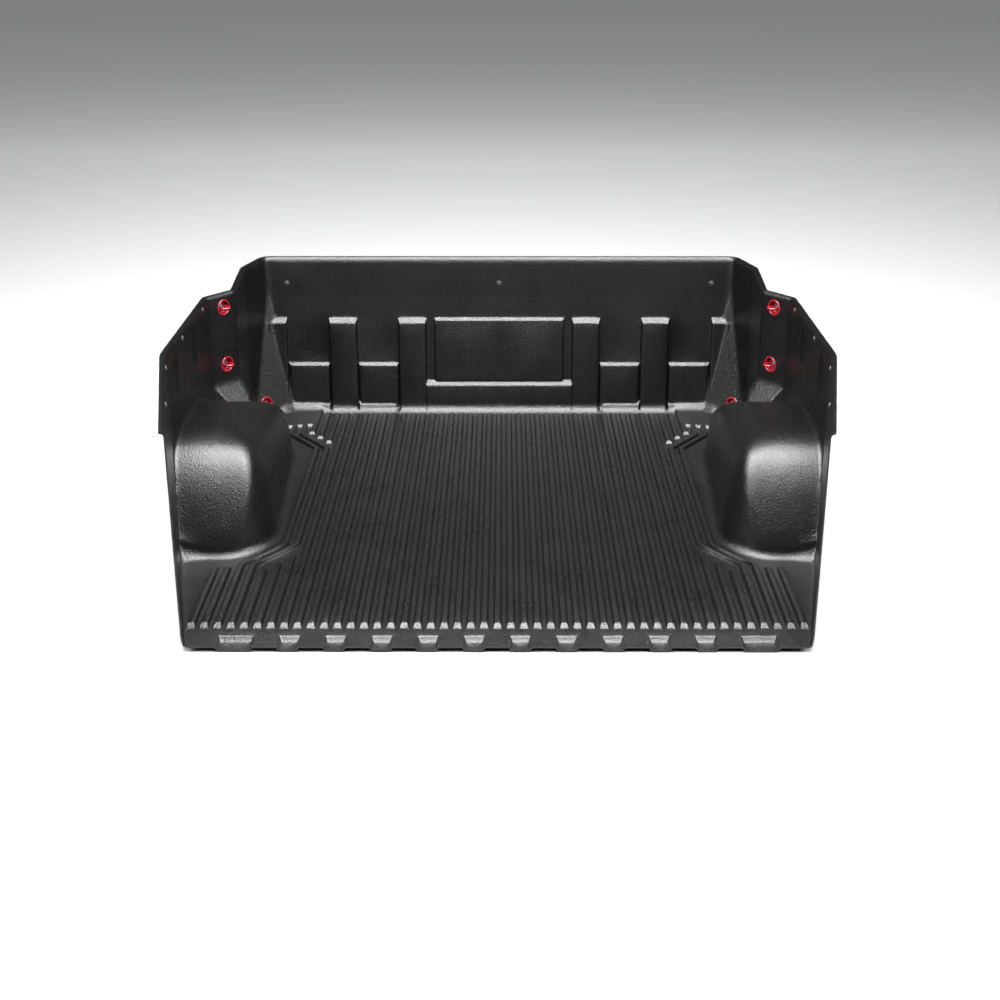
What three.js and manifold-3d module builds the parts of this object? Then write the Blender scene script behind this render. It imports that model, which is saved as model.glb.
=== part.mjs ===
// Under-rail liner for a full-size pickup bed: one thermoformed tub, the push rivets and rail
// clips that hold it, and the six tie-down anchors that stand on it.
// Millimetres, +X to the right, +Y towards the cab, +Z up. While the shapes are made, y = 0 is the
// rear end of the floor ribs and z = 0 is their top; the group at the end moves the origin to the
// middle of the underside.
import * as THREE from 'three';
import { mergeVertices } from 'three/addons/utils/BufferGeometryUtils.js';
import { ConvexGeometry } from 'three/addons/geometries/ConvexGeometry.js';
import Module from 'manifold-3d';

const wasm = await Module();
wasm.setup();

// Driving dimensions of the tub.
const SHEET = 4;
const REAR_Y = -90;
const FRONT_Y = 1780;
const TOP_Z = 540;
const GROOVE_Z = -10;
const LIP_Z = -28;
const HALF_WIDTH_FLOOR = 880;
const HALF_WIDTH_TOP = 905;
const FLANGE = 11;
const BAND_Z = 400;
const WALL_FOOT_Y = 1745;
const WALL_Y = 1765;

// Floor ribs: 47 at one pitch, of which the two bent ones per side step round the wheel arch.
const RIB_PITCH = 33.46;
const RIB_TOP = 13.5;
const RIB_FOOT = 21.5;
const RIB_FRONT_Y = 1705;
const NOSE = 18;
const FULL_RIBS = 16;
const BENT_RIBS = [21, 20];
const BEND_SHIFT = 3 * RIB_PITCH;
const REAR_BEND = [385, 525];
const FRONT_BEND = [1335, 1475];
const PAD_Y = 1575;

// Wheel arch, headboard and corner features.
const ARCH_TOP = 287;
const RIB_DEPTH = 16;
const BOX_DEPTH = 10;
const STEP_DEPTH = 14;
const PLATE_DEPTH = 9;
const DRAFT = 6;
const POCKET_DEPTH = 8;
const POCKET_LENGTH = 110;
const POCKET_STARTS = [600, 880];
const POCKET_Z = [385, 500];
const SCOOP_PITCH = 114.5;
const SCOOP_HALF = 30;
const OUTER_SCOOP = { x: 648, half: 48 };
const SCOOP_TOP_Y = -28;
const SCOOP_FLOOR_Y = -46;
const SCOOP_SLOPE = 8;

// Hardware.
const GAP = 0.3;
const RIVET_HEAD = 9.5;
const RIVET_SHANK = 3.6;
const RIVET_HOLE = 4.2;
const PIN_RADIUS = 2;
const HEADBOARD_RIVETS = [-735, 0, 735];
const HEADBOARD_RIVET_Z = 448;
const RAIL_RIVETS = [180, 500, 800, 1120];
const RAIL_RIVET_Z = 518;
const CUP_RADIUS = 26;
const CUP_HOLE = 23.5;
const CUP_DEPTH = 14;
const CUP_WALL = 1.6;
const CUP_TAPER = 3;
const ROD = 4;
const LOOP_REACH = 22;
const LOOP_HALF = 13;
const PANEL_TIES_Z = [310, 495];
const PANEL_TIES_Y = 1246;
const CORNER_TIE_X = 812;
const CORNER_TIE_Z = 45;

// --- solids -----------------------------------------------------------------------------------

function toSolid(geometry) {
  const bare = geometry.index ? geometry.toNonIndexed() : geometry.clone();
  bare.deleteAttribute('normal');
  bare.deleteAttribute('uv');
  const merged = mergeVertices(bare, 1e-4);
  return new wasm.Manifold(new wasm.Mesh({
    numProp: 3,
    vertProperties: new Float32Array(merged.attributes.position.array),
    triVerts: new Uint32Array(merged.index.array),
  }));
}

function toGeometry(solid) {
  const mesh = solid.getMesh();
  const geometry = new THREE.BufferGeometry();
  geometry.setAttribute('position', new THREE.BufferAttribute(mesh.vertProperties, 3));
  geometry.setIndex(new THREE.BufferAttribute(mesh.triVerts, 1));
  geometry.computeVertexNormals();
  return geometry;
}

function join(solids) {
  return solids.reduce((sum, solid) => sum.add(solid));
}

function cross(solids) {
  return solids.reduce((sum, solid) => sum.intersect(solid));
}

function extruded(points, depth, steps = 1) {
  const shape = new THREE.Shape(points.map(([a, b]) => new THREE.Vector2(a, b)));
  return new THREE.ExtrudeGeometry(shape, { depth, steps, bevelEnabled: false });
}

// A plan outline (x, y) raised from z0 to z1.
function raise(points, z0, z1) {
  const geometry = extruded(points, z1 - z0);
  geometry.translate(0, 0, z0);
  return toSolid(geometry);
}

// A cross-section (x, z) carried along y from y0 to y1.
function carryAlongY(points, y0, y1) {
  const geometry = extruded(points, y1 - y0);
  geometry.rotateX(Math.PI / 2);
  geometry.translate(0, y1, 0);
  return toSolid(geometry);
}

// A side profile (y, z) carried along x from x0 to x1.
function carryAlongX(points, x0, x1) {
  const geometry = extruded(points, x1 - x0);
  geometry.rotateY(Math.PI / 2);
  geometry.rotateX(Math.PI / 2);
  geometry.translate(x0, 0, 0);
  return toSolid(geometry);
}

function hull(points) {
  return toSolid(new ConvexGeometry(points.map(([x, y, z]) => new THREE.Vector3(x, y, z))));
}

// The outline moved inwards by a distance; a negative distance moves it outwards.
function inset(points, distance) {
  const turn = Math.sign(THREE.ShapeUtils.area(points.map(([a, b]) => new THREE.Vector2(a, b))));
  return points.map((point, i) => {
    const before = points[(i + points.length - 1) % points.length];
    const after = points[(i + 1) % points.length];
    const first = unit(before, point);
    const second = unit(point, after);
    const normal = [-(first[1] + second[1]) * turn, (first[0] + second[0]) * turn];
    const stretch = distance / (1 + first[0] * second[0] + first[1] * second[1]);
    return [point[0] + normal[0] * stretch, point[1] + normal[1] * stretch];
  });
}

function unit(from, to) {
  const length = Math.hypot(to[0] - from[0], to[1] - from[1]);
  return [(to[0] - from[0]) / length, (to[1] - from[1]) / length];
}

function mirrorX(points) {
  return points.map(([x, ...rest]) => [-x, ...rest]).reverse();
}

function bothSides(points) {
  return [...points, ...mirrorX(points)];
}

// --- tub outline --------------------------------------------------------------------------------

// Right half of the inner plan, rear to front: tapered tail, straight side, tie-down panel, corner.
const SIDE_PLAN = [
  [763.5, REAR_Y - 40],
  [HALF_WIDTH_TOP, 565],
  [HALF_WIDTH_TOP, 1190],
  [832, 1290],
  [850, 1600],
  [800, 1790],
];
const BELOW = -80;
const ABOVE = 640;
const OVER_RIBS = 32;

const CROSS_SECTION = bothSides([
  [HALF_WIDTH_FLOOR - 6, BELOW],
  [HALF_WIDTH_FLOOR, GROOVE_Z],
  [HALF_WIDTH_TOP, 290],
  [HALF_WIDTH_TOP, ABOVE],
]);

const SIDE_PROFILE = [
  [REAR_Y - 40, GROOVE_Z - 6],
  [-10, GROOVE_Z],
  [WALL_FOOT_Y - 15, GROOVE_Z],
  [WALL_FOOT_Y, GROOVE_Z + 18],
  [WALL_Y, BAND_Z],
  [WALL_Y, ABOVE],
  [REAR_Y - 40, ABOVE],
];

function wallY(z) {
  const share = Math.min(1, (z - GROOVE_Z) / (BAND_Z - GROOVE_Z));
  return WALL_FOOT_Y + share * (WALL_Y - WALL_FOOT_Y);
}

function tubVolume(offset) {
  return cross([
    raise(inset(bothSides(SIDE_PLAN), offset), BELOW, ABOVE),
    carryAlongY(inset(CROSS_SECTION, offset), -400, 2000),
    carryAlongX(inset(SIDE_PROFILE, offset), -1000, 1000),
  ]);
}

// --- raised and pressed features ----------------------------------------------------------------
// Each feature is a function of how far its skin is inset: 0 gives the face that the cargo sees,
// SHEET gives the hollow behind a raised feature, and -SHEET the back of a pressed one.

function headboardRaised(xLow, xHigh, zLow, zHigh, depth) {
  return (skin) => {
    const footZ = zLow > 0 ? zLow + skin : BELOW;
    const topZ = zHigh - skin;
    const faceTop = topZ - depth;
    const faceLow = zLow > 0 ? footZ + depth : footZ;
    const faceInset = skin + DRAFT;
    return hull([
      [xLow + skin, FRONT_Y + 20, footZ],
      [xHigh - skin, FRONT_Y + 20, footZ],
      [xLow + skin, FRONT_Y + 20, topZ],
      [xHigh - skin, FRONT_Y + 20, topZ],
      [xLow + skin, wallY(topZ), topZ],
      [xHigh - skin, wallY(topZ), topZ],
      [xLow + faceInset, wallY(faceTop) - depth + skin, faceTop],
      [xHigh - faceInset, wallY(faceTop) - depth + skin, faceTop],
      [xLow + faceInset, wallY(Math.max(faceLow, 0)) - depth + skin, faceLow],
      [xHigh - faceInset, wallY(Math.max(faceLow, 0)) - depth + skin, faceLow],
      [xLow + skin, wallY(Math.max(footZ, 0)), footZ],
      [xHigh - skin, wallY(Math.max(footZ, 0)), footZ],
    ]);
  };
}

const ARCH_PLAN = [
  [1040, 432],
  [770, 445],
  [700, 480],
  [650, 555],
  [640, 620],
  [676, 1300],
  [745, 1430],
  [1040, 1470],
];
const ARCH_PROFILE = [
  [438, BELOW],
  [446, 0],
  [470, 75],
  [500, 160],
  [535, 230],
  [580, 270],
  [640, ARCH_TOP],
  [900, ARCH_TOP],
  [980, 271],
  [1090, 231],
  [1220, 165],
  [1330, 85],
  [1410, 0],
  [1435, BELOW],
];
const ARCH_SECTION = [
  [630, BELOW],
  [642, 0],
  [655, 170],
  [680, 235],
  [725, 276],
  [790, ARCH_TOP],
  [1040, ARCH_TOP + 2],
  [1040, BELOW],
];

function wheelArch(side) {
  const flip = side < 0 ? mirrorX : (points) => points;
  return (skin) => cross([
    raise(flip(inset(ARCH_PLAN, skin)), BELOW, ABOVE),
    carryAlongY(flip(inset(ARCH_SECTION, skin)), 300, 1700),
    carryAlongX(inset(ARCH_PROFILE, skin), -1100, 1100),
  ]);
}

// One comb of parallel full-length ribs, cut to sloped noses at both ends.
function ribComb(skin) {
  const base = skin ? GROOVE_Z - SHEET - 1 : GROOVE_Z - 2;
  const top = -skin;
  const points = [[-FULL_RIBS * RIB_PITCH - 20, BELOW], [-FULL_RIBS * RIB_PITCH - 20, base]];
  for (let i = -FULL_RIBS; i <= FULL_RIBS; i += 1) {
    const x = i * RIB_PITCH;
    points.push([x - RIB_FOOT / 2 + skin, base]);
    points.push([x - RIB_TOP / 2 + skin * 0.7, top]);
    points.push([x + RIB_TOP / 2 - skin * 0.7, top]);
    points.push([x + RIB_FOOT / 2 - skin, base]);
  }
  points.push([FULL_RIBS * RIB_PITCH + 20, base], [FULL_RIBS * RIB_PITCH + 20, BELOW]);
  const noses = [
    [skin - 4, BELOW],
    [skin, GROOVE_Z - SHEET],
    [NOSE + skin, OVER_RIBS],
    [RIB_FRONT_Y - NOSE - skin, OVER_RIBS],
    [RIB_FRONT_Y - skin, GROOVE_Z - SHEET],
    [RIB_FRONT_Y - skin + 4, BELOW],
  ];
  return cross([carryAlongY(points, -10, RIB_FRONT_Y + 10), carryAlongX(noses, -900, 900)]);
}

// A rib that follows a route of plan points, as wide as the mean of its top and foot.
function routedRib(route) {
  return (skin) => {
    const half = (RIB_TOP + RIB_FOOT) / 4 - skin;
    const left = route.map((point, i) => beside(route, i, -half));
    const right = route.map((point, i) => beside(route, i, half));
    left[0][1] += skin;
    right[0][1] += skin;
    left[left.length - 1][1] -= skin;
    right[right.length - 1][1] -= skin;
    return raise([...right, ...left.reverse()], skin ? BELOW : GROOVE_Z - 2, -skin);
  };
}

function beside(route, i, distance) {
  const before = unit(route[Math.max(i - 1, 0)], route[Math.max(i, 1)]);
  const after = unit(route[Math.min(i, route.length - 2)], route[Math.min(i + 1, route.length - 1)]);
  const scale = distance / (1 + before[0] * after[0] + before[1] * after[1]);
  return [
    route[i][0] + (before[1] + after[1]) * scale,
    route[i][1] - (before[0] + after[0]) * scale,
  ];
}

function bentRoute(x, side) {
  const inboard = x - BEND_SHIFT;
  return [
    [x, 0],
    [x, REAR_BEND[0]],
    [inboard, REAR_BEND[1]],
    [inboard, FRONT_BEND[0]],
    [x, FRONT_BEND[1]],
    [x, PAD_Y + 6],
  ].map(([a, b]) => [a * side, b]);
}

// Short ribs behind and ahead of the diagonals, each ending a little short of the bent rib.
function shortRoutes(side) {
  const slope = (REAR_BEND[1] - REAR_BEND[0]) / BEND_SHIFT;
  const routes = [[23, 0, 370], [22, 0, 370]];
  for (const index of [19, 18, 17]) {
    const rise = (19 - index) * RIB_PITCH * slope;
    routes.push([index, 0, REAR_BEND[0] - 35 + rise]);
    routes.push([index, FRONT_BEND[1] + 10 - rise, index === 19 ? PAD_Y + 6 : RIB_FRONT_Y]);
  }
  return routes.map(([index, y0, y1]) => [[index * RIB_PITCH * side, y0], [index * RIB_PITCH * side, y1]]);
}

// Flat pad at rib height that fills each front corner of the floor.
const PAD_PLAN = [
  [622, PAD_Y],
  [622, 1735],
  [640, 1790],
  [900, 1790],
  [900, PAD_Y - 20],
  [740, PAD_Y - 30],
];

function cornerPad(side) {
  const plan = side < 0 ? mirrorX(PAD_PLAN) : PAD_PLAN;
  return (skin) => raise(inset(plan, skin), skin ? BELOW : GROOVE_Z - 2, -skin);
}

// Corner gusset: a flat facet that fans out towards the floor.
const GUSSET_FOOT = new THREE.Vector3(850, 1600, GROOVE_Z);
const GUSSET_INNER = new THREE.Vector3(712, 1745, GROOVE_Z);
const GUSSET_TOP = new THREE.Vector3(803, WALL_Y, 430);
const GUSSET_PEAK = 465;

function gussetNormal() {
  const along = GUSSET_INNER.clone().sub(GUSSET_FOOT);
  const up = GUSSET_TOP.clone().sub(GUSSET_FOOT);
  return up.cross(along).normalize();
}

function gussetY(x, z) {
  const normal = gussetNormal();
  const drop = normal.x * (x - GUSSET_FOOT.x) + normal.z * (z - GUSSET_FOOT.z);
  return GUSSET_FOOT.y - drop / normal.y;
}

function cornerGusset(side) {
  return (skin) => {
    const shift = skin / Math.abs(gussetNormal().y);
    const lowZ = -60;
    const rows = [[lowZ, 690, 900], [GUSSET_TOP.z - skin, 780, 900]];
    const points = [];
    for (const [z, xIn, xOut] of rows) {
      points.push([xIn, gussetY(xIn, z) + shift, z], [xOut, gussetY(xOut, z) + shift, z]);
      points.push([xIn, FRONT_Y + 60, z], [xOut, FRONT_Y + 60, z]);
    }
    points.push([845, FRONT_Y + 60, GUSSET_PEAK - skin], [900, FRONT_Y + 60, GUSSET_PEAK - skin]);
    points.push([900, 1700, GUSSET_PEAK - skin]);
    return hull(points.map(([x, y, z]) => [x * side, y, z]));
  };
}

// Scoops pressed into the apron behind the ribs.
function scoop(x, halfWidth) {
  return (skin) => {
    const rearY = REAR_Y - 30;
    const edge = halfWidth - skin;
    const foot = edge - SCOOP_SLOPE;
    const floorZ = LIP_Z + SHEET + skin;
    return hull([
      [x - edge, SCOOP_TOP_Y - skin, 0],
      [x + edge, SCOOP_TOP_Y - skin, 0],
      [x - edge, rearY, 0],
      [x + edge, rearY, 0],
      [x - foot, SCOOP_FLOOR_Y - skin, floorZ],
      [x + foot, SCOOP_FLOOR_Y - skin, floorZ],
      [x - foot, rearY, floorZ],
      [x + foot, rearY, floorZ],
    ]);
  };
}

// Shallow pockets pressed outwards in the side wall, between the rail and the arch.
function sidePocket(yLow, side) {
  return (skin) => {
    const yHigh = yLow + POCKET_LENGTH;
    const deep = HALF_WIDTH_TOP + POCKET_DEPTH - skin;
    const points = [];
    for (const [x, shrink] of [[HALF_WIDTH_TOP - 8, -8], [deep, DRAFT]]) {
      const edge = shrink + skin;
      points.push([x, yLow + edge, POCKET_Z[0] + edge], [x, yHigh - edge, POCKET_Z[0] + edge]);
      points.push([x, yLow + edge, POCKET_Z[1] - edge], [x, yHigh - edge, POCKET_Z[1] - edge]);
    }
    return hull(points.map(([x, y, z]) => [x * side, y, z]));
  };
}

function raisedFeatures() {
  const features = [ribComb];
  for (const side of [-1, 1]) {
    for (const index of BENT_RIBS) features.push(routedRib(bentRoute(index * RIB_PITCH, side)));
    for (const route of shortRoutes(side)) features.push(routedRib(route));
    features.push(cornerPad(side), cornerGusset(side), wheelArch(side));
  }
  const blocks = [
    [253, 353, 0, 328, RIB_DEPTH],
    [495, 595, 0, 328, RIB_DEPTH],
    [740, 828, 0, 328, RIB_DEPTH],
    [353, 495, 0, 168, BOX_DEPTH],
    [595, 740, 0, 168, BOX_DEPTH],
    [360, 500, 0, 32, STEP_DEPTH],
    [594, 734, 0, 32, STEP_DEPTH],
    [55, 270, 0, 32, STEP_DEPTH],
  ];
  for (const [xLow, xHigh, zLow, zHigh, depth] of blocks) {
    features.push(headboardRaised(xLow, xHigh, zLow, zHigh, depth));
    features.push(headboardRaised(-xHigh, -xLow, zLow, zHigh, depth));
  }
  features.push(headboardRaised(-227, 227, 102, 328, PLATE_DEPTH));
  features.push(headboardRaised(-262, 262, 0, 104, RIB_DEPTH));
  return features;
}

function pressedFeatures() {
  const features = [];
  for (const side of [-1, 1]) {
    for (const step of [0.5, 1.5, 2.5, 3.5, 4.5]) {
      features.push(scoop(side * step * SCOOP_PITCH, SCOOP_HALF));
    }
    features.push(scoop(side * OUTER_SCOOP.x, OUTER_SCOOP.half));
    for (const yLow of POCKET_STARTS) features.push(sidePocket(yLow, side));
  }
  return features;
}

// --- places on the walls ------------------------------------------------------------------------

// Point on the inner side wall at a given y, with the wall's normal into the bed.
function sideWallPlace(y, z, side) {
  const i = SIDE_PLAN.findIndex(([, next], k) => k > 0 && next >= y);
  const [x0, y0] = SIDE_PLAN[i - 1];
  const [x1, y1] = SIDE_PLAN[i];
  const x = x0 + ((x1 - x0) * (y - y0)) / (y1 - y0);
  const along = unit([x0, y0], [x1, y1]);
  return place([x * side, y, z], [-along[1] * side, along[0], 0]);
}

function place(point, normal) {
  return { point: new THREE.Vector3(...point), normal: new THREE.Vector3(...normal).normalize() };
}

// Frame whose +Z is the wall's normal and whose +X lies level.
function seatMatrix({ point, normal }) {
  const level = new THREE.Vector3(0, 0, 1).cross(normal).normalize();
  const up = normal.clone().cross(level);
  return new THREE.Matrix4().makeBasis(level, up, normal).setPosition(point);
}

const HEADBOARD_PLACES = HEADBOARD_RIVETS.map((x) => place([x, WALL_Y, HEADBOARD_RIVET_Z], [0, -1, 0]));

function railPlaces(side) {
  return RAIL_RIVETS.map((y) => sideWallPlace(y, RAIL_RIVET_Z, side));
}

function cornerTiePlace(side) {
  const y = gussetY(CORNER_TIE_X, CORNER_TIE_Z);
  const normal = gussetNormal();
  return place([CORNER_TIE_X * side, y, CORNER_TIE_Z], [normal.x * side, normal.y, normal.z]);
}

function tiePlaces(side) {
  return [
    ...PANEL_TIES_Z.map((z) => sideWallPlace(PANEL_TIES_Y, z, side)),
    cornerTiePlace(side),
  ];
}

function drill(where, radius, sides) {
  const geometry = new THREE.CylinderGeometry(radius, radius, 60, sides);
  geometry.rotateX(Math.PI / 2);
  geometry.applyMatrix4(seatMatrix(where));
  return toSolid(geometry);
}

// --- the tub --------------------------------------------------------------------------------------

function makeTub() {
  const raised = raisedFeatures();
  const pressed = pressedFeatures();
  const openEnd = raise([[-1000, REAR_Y], [-1000, 2000], [1000, 2000], [1000, REAR_Y]], BELOW, TOP_Z);
  const rim = raise(inset(bothSides(SIDE_PLAN), -SHEET - FLANGE), TOP_Z - SHEET, TOP_Z);
  const rimEnd = raise([[-1000, REAR_Y], [-1000, FRONT_Y], [1000, FRONT_Y], [1000, REAR_Y]], BELOW, TOP_Z);
  const outside = cross([join([tubVolume(-SHEET), ...pressed.map((make) => make(-SHEET))]), openEnd]);
  const shellOutside = outside.subtract(join(raised.map((make) => make(SHEET))));
  const inside = join([tubVolume(0), ...pressed.map((make) => make(0))]);
  const cargoSpace = inside.subtract(join(raised.map((make) => make(0))));
  let tub = join([shellOutside, rim.intersect(rimEnd)]).subtract(cargoSpace);
  for (const side of [-1, 1]) {
    for (const where of railPlaces(side)) tub = tub.subtract(drill(where, RIVET_HOLE, 12));
    for (const where of tiePlaces(side)) tub = tub.subtract(drill(where, CUP_HOLE, 20));
  }
  for (const where of HEADBOARD_PLACES) tub = tub.subtract(drill(where, RIVET_HOLE, 12));
  return toGeometry(tub);
}

// --- hardware, each made at the origin with +Z along the wall's normal ------------------------

function turned(profile, sides) {
  const geometry = new THREE.LatheGeometry(profile.map(([r, z]) => new THREE.Vector2(r, z)), sides);
  geometry.rotateX(Math.PI / 2);
  return toGeometry(toSolid(geometry));
}

// Expanding rivet: head on the liner, hollow shank through it.
function rivetBody() {
  return turned([
    [PIN_RADIUS + GAP, -SHEET - 10],
    [RIVET_SHANK - 0.8, -SHEET - 10],
    [RIVET_SHANK, -SHEET - 8],
    [RIVET_SHANK, GAP],
    [RIVET_HEAD, GAP],
    [RIVET_HEAD, GAP + 0.6],
    [RIVET_HEAD - 3, 2.6],
    [PIN_RADIUS + GAP, 2.6],
    [PIN_RADIUS + GAP, -SHEET - 10],
  ], 12);
}

// Centre pin of the rivet: a domed button on a plain shank.
function rivetPin() {
  return turned([
    [0, -SHEET - 9],
    [PIN_RADIUS, -SHEET - 9],
    [PIN_RADIUS, 2.6 + GAP],
    [4.2, 2.6 + GAP],
    [3.6, 4.2],
    [0, 4.6],
  ], 12);
}

// Spring-steel clip that grips the rail flange behind the liner: two leaves and a bend.
function railClip() {
  const near = -SHEET - GAP;
  const outline = [
    [-11, near],
    [13, near],
    [13, near - 5.2],
    [-8, near - 5.2],
    [-11, near - 6.4],
    [-11.8, near - 5.2],
    [-8.6, near - 4.1],
    [11.6, near - 4.1],
    [11.6, near - 1.2],
    [-11, near - 1.2],
  ];
  const solid = carryAlongX(outline, -8, 8);
  const hole = new THREE.CylinderGeometry(RIVET_HOLE, RIVET_HOLE, 40, 12);
  hole.rotateX(Math.PI / 2);
  return toGeometry(solid.subtract(toSolid(hole)));
}

// Pressed steel cup with a rolled flange and a hole for its bolt.
function tieCup() {
  const lip = CUP_HOLE - GAP - CUP_WALL;
  return turned([
    [5.4, -CUP_DEPTH],
    [CUP_HOLE - CUP_TAPER, -CUP_DEPTH],
    [lip, GAP],
    [CUP_RADIUS, GAP],
    [CUP_RADIUS, GAP + CUP_WALL],
    [lip, GAP + CUP_WALL + 1],
    [lip - CUP_TAPER, CUP_WALL - CUP_DEPTH],
    [5.4, CUP_WALL - CUP_DEPTH],
    [5.4, -CUP_DEPTH],
  ], 20);
}

// Round bar bent into a level loop that stands out of the cup.
function tieLoop() {
  const foot = CUP_WALL - CUP_DEPTH + GAP;
  const bend = LOOP_REACH - LOOP_HALF;
  const points = [new THREE.Vector3(-LOOP_HALF, 0, foot), new THREE.Vector3(-LOOP_HALF, 0, foot + 6)];
  for (let step = 0; step <= 6; step += 1) {
    const angle = Math.PI * (1 - step / 6);
    const rise = LOOP_HALF * Math.sin(angle);
    points.push(new THREE.Vector3(LOOP_HALF * Math.cos(angle), 0, bend + rise));
  }
  points.push(new THREE.Vector3(LOOP_HALF, 0, foot + 6), new THREE.Vector3(LOOP_HALF, 0, foot));
  const section = new THREE.Shape().absarc(0, 0, ROD, 0, Math.PI * 2);
  const extrudePath = new THREE.CatmullRomCurve3(points, false, 'centripetal');
  const bar = new THREE.ExtrudeGeometry(section, { extrudePath, steps: 18, curveSegments: 4 });
  return toGeometry(toSolid(bar));
}

// Hexagon bolt that holds the cup and the liner to the bed wall.
function tieBolt() {
  const seat = CUP_WALL - CUP_DEPTH + GAP;
  const head = new THREE.CylinderGeometry(7.2, 7.2, 5, 6);
  head.translate(0, seat + 2.5, 0);
  const shank = new THREE.CylinderGeometry(4, 4, 26, 12);
  shank.translate(0, seat + 1 - 13, 0);
  const bolt = toSolid(head.rotateX(Math.PI / 2)).add(toSolid(shank.rotateX(Math.PI / 2)));
  return toGeometry(bolt);
}

// --- the assembly -------------------------------------------------------------------------------

const liner = new THREE.Group();
liner.position.set(0, -(REAR_Y + FRONT_Y) / 2, -LIP_Z);

function finish(color, roughness, metalness) {
  return new THREE.MeshStandardMaterial({ color, roughness, metalness });
}

const LINER_PLASTIC = [0x1b1b1c, 0.45, 0];
const RIVET_PLASTIC = [0x121212, 0.5, 0];
const PIN_PLASTIC = [0x2a2a2b, 0.4, 0];
const CLIP_STEEL = [0x8c8f92, 0.35, 1];
const RED_PAINT = [0xa80f22, 0.3, 0.2];
const BOLT_STEEL = [0x5a5c60, 0.4, 1];

function addPiece(name, geometry, look, where) {
  const mesh = new THREE.Mesh(geometry, finish(...look));
  mesh.name = name;
  if (where) mesh.applyMatrix4(seatMatrix(where));
  liner.add(mesh);
}

function addRivet(name, where) {
  addPiece(`rivet_${name}`, rivetBody(), RIVET_PLASTIC, where);
  addPiece(`rivet_pin_${name}`, rivetPin(), PIN_PLASTIC, where);
}

addPiece('liner_tub', makeTub(), LINER_PLASTIC);

['left', 'centre', 'right'].forEach((name, i) => addRivet(`headboard_${name}`, HEADBOARD_PLACES[i]));

for (const [sideName, side] of [['left', -1], ['right', 1]]) {
  railPlaces(side).forEach((where, i) => {
    addRivet(`rail_${sideName}_${i + 1}`, where);
    addPiece(`rail_clip_${sideName}_${i + 1}`, railClip(), CLIP_STEEL, where);
  });
  tiePlaces(side).forEach((where, i) => {
    const name = `${['lower', 'upper', 'floor'][i]}_${sideName}`;
    addPiece(`tie_cup_${name}`, tieCup(), RED_PAINT, where);
    addPiece(`tie_loop_${name}`, tieLoop(), RED_PAINT, where);
    addPiece(`tie_bolt_${name}`, tieBolt(), BOLT_STEEL, where);
  });
}

export default liner;
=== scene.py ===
import math

import bmesh
import bpy
import numpy as np
from mathutils import Matrix, Vector
from mathutils.geometry import delaunay_2d_cdt


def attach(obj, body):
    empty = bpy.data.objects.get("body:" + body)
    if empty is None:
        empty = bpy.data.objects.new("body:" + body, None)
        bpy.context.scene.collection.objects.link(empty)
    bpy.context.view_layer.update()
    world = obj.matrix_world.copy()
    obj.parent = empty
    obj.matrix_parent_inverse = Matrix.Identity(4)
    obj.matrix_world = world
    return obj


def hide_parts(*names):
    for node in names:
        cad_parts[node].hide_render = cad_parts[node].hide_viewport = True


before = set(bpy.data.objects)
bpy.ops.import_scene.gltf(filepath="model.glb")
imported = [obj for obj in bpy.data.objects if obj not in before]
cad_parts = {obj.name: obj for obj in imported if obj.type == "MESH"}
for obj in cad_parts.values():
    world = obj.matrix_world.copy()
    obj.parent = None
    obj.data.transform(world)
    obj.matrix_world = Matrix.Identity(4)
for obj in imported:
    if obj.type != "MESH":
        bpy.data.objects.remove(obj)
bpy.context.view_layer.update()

# Shapes are worked out in millimetres with y = 0 at the rear end of the floor ribs and z = 0 at
# their top. SHIFT carries them to the row frame.
MM = 0.001
SHIFT = Vector((0.0, -845.0, 28.0))

SHEET = 4.0
REAR_Y = -90.0
TOP_Z = 540.0
GROOVE_Z = -10.0
FLANGE = 15.0
WALL_FOOT_Y = 1745.0
WALL_Y = 1765.0
BAND_Z = 400.0

RIB_PITCH = 33.46
RIB_TOP = 13.5
RIB_FOOT = 21.5
RIB_FRONT_Y = 1705.0
NOSE = 18.0
FRONT_NOSE = 8.0
FULL_RIBS = 16
BEND_SHIFT = 3 * RIB_PITCH
REAR_BEND = (385.0, 525.0)
FRONT_BEND = (1335.0, 1475.0)
PAD_Y = 1575.0
SCOOP_FLOOR = -24.0


# --- small maths ------------------------------------------------------------------------------

def soft_min(a, b, k):
    gap = np.clip(k - np.abs(a - b), 0.0, None) / k
    return np.minimum(a, b) - gap * gap * k / 4


def soft_max(a, b, k):
    return -soft_min(-a, -b, k)


def soft_unit(t, k=0.3):
    return soft_min(soft_max(t, 0.0, k), 1.0, k)


def smooth(t):
    t = np.clip(t, 0.0, 1.0)
    return t * t * (3 - 2 * t)


def fillet_rise(distance, radius):
    """Height of a quarter-round fillet at a distance from the corner it fills."""
    left = np.clip(radius - distance, 0.0, radius)
    return radius - np.sqrt(np.clip(radius * radius - left * left, 0.0, None))


def along(line):
    steps = np.hypot(*np.diff(line, axis=0).T)
    return np.concatenate([[0.0], np.cumsum(steps)])


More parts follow.
